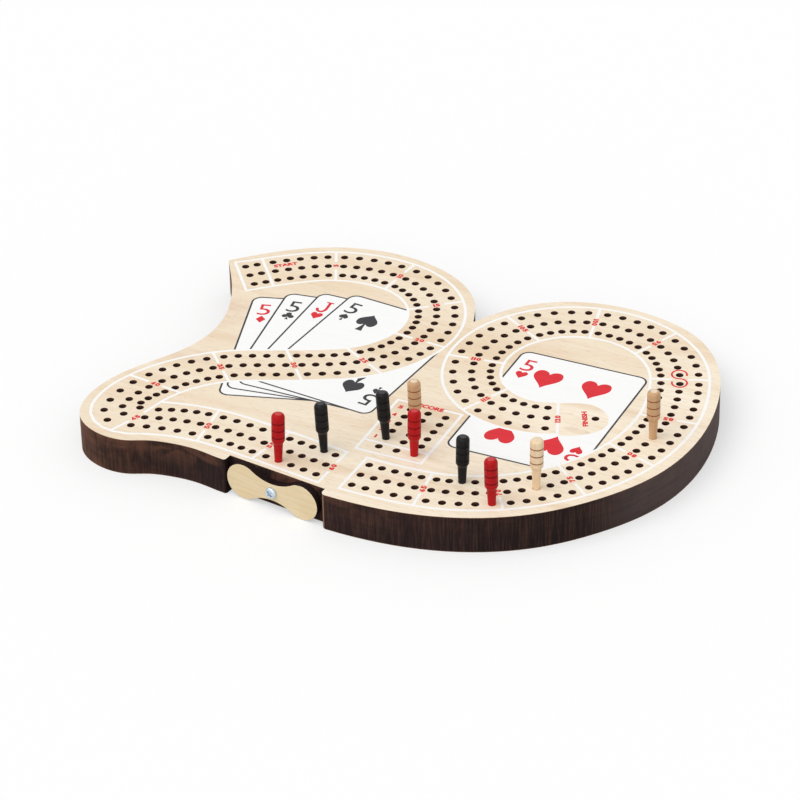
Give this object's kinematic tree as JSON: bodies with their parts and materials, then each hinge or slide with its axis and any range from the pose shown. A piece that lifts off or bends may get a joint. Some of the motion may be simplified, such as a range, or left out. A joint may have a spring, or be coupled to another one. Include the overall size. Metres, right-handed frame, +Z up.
{
  "type": "cribbage board with pegs",
  "caption": "Flat wooden three-lane cribbage board cut to the outline of two digits, with turned pegs and a swivel cover over its peg storage.",
  "frame": {"origin": "under the middle of the whole object, on the surface that the board lies on", "axes": "+X to the right along the width of the two digits, +Y away from the storage recess towards the tops of the digits, +Z up out of the playing face"},
  "size_m": [0.2362, 0.179, 0.0384],
  "materials": {
    "board_maple": "satin",
    "cover_maple": "satin",
    "zinc_screw": "satin",
    "peg_red": "satin",
    "peg_black": "satin",
    "peg_natural": "satin",
    "charred_edge": "matte",
    "white_ink": "matte",
    "red_ink": "matte",
    "black_ink": "matte"
  },
  "bodies": {
    "board": {"board": "board_maple", "pivot_screw": "zinc_screw"},
    "storage_cover": {"storage_cover": "cover_maple"},
    "peg_red_1": {"peg_red_1": "peg_red"},
    "peg_red_2": {"peg_red_2": "peg_red"},
    "peg_red_3": {"peg_red_3": "peg_red"},
    "peg_black_1": {"peg_black_1": "peg_black"},
    "peg_black_2": {"peg_black_2": "peg_black"},
    "peg_black_3": {"peg_black_3": "peg_black"},
    "peg_natural_1": {"peg_natural_1": "peg_natural"},
    "peg_natural_2": {"peg_natural_2": "peg_natural"},
    "peg_natural_3": {"peg_natural_3": "peg_natural"}
  },
  "joints": [
    {"name": "cover_swivel", "type": "hinge", "parent": "board", "child": "storage_cover", "pos_m": [-0.02396, -0.08352, 0.00794], "axis": [-0.1409, -0.99, 0], "continuous": true},
    {"name": "peg_red_1_lift", "type": "slide", "parent": "board", "child": "peg_red_1", "axis": [0, 0, 1], "range_m": [0, 0.035]},
    {"name": "peg_red_2_lift", "type": "slide", "parent": "board", "child": "peg_red_2", "axis": [0, 0, 1], "range_m": [0, 0.035]},
    {"name": "peg_red_3_lift", "type": "slide", "parent": "board", "child": "peg_red_3", "axis": [0, 0, 1], "range_m": [0, 0.035]},
    {"name": "peg_black_1_lift", "type": "slide", "parent": "board", "child": "peg_black_1", "axis": [0, 0, 1], "range_m": [0, 0.035]},
    {"name": "peg_black_2_lift", "type": "slide", "parent": "board", "child": "peg_black_2", "axis": [0, 0, 1], "range_m": [0, 0.035]},
    {"name": "peg_black_3_lift", "type": "slide", "parent": "board", "child": "peg_black_3", "axis": [0, 0, 1], "range_m": [0, 0.035]},
    {"name": "peg_natural_1_lift", "type": "slide", "parent": "board", "child": "peg_natural_1", "axis": [0, 0, 1], "range_m": [0, 0.035]},
    {"name": "peg_natural_2_lift", "type": "slide", "parent": "board", "child": "peg_natural_2", "axis": [0, 0, 1], "range_m": [0, 0.035]},
    {"name": "peg_natural_3_lift", "type": "slide", "parent": "board", "child": "peg_natural_3", "axis": [0, 0, 1], "range_m": [0, 0.035]}
  ]
}
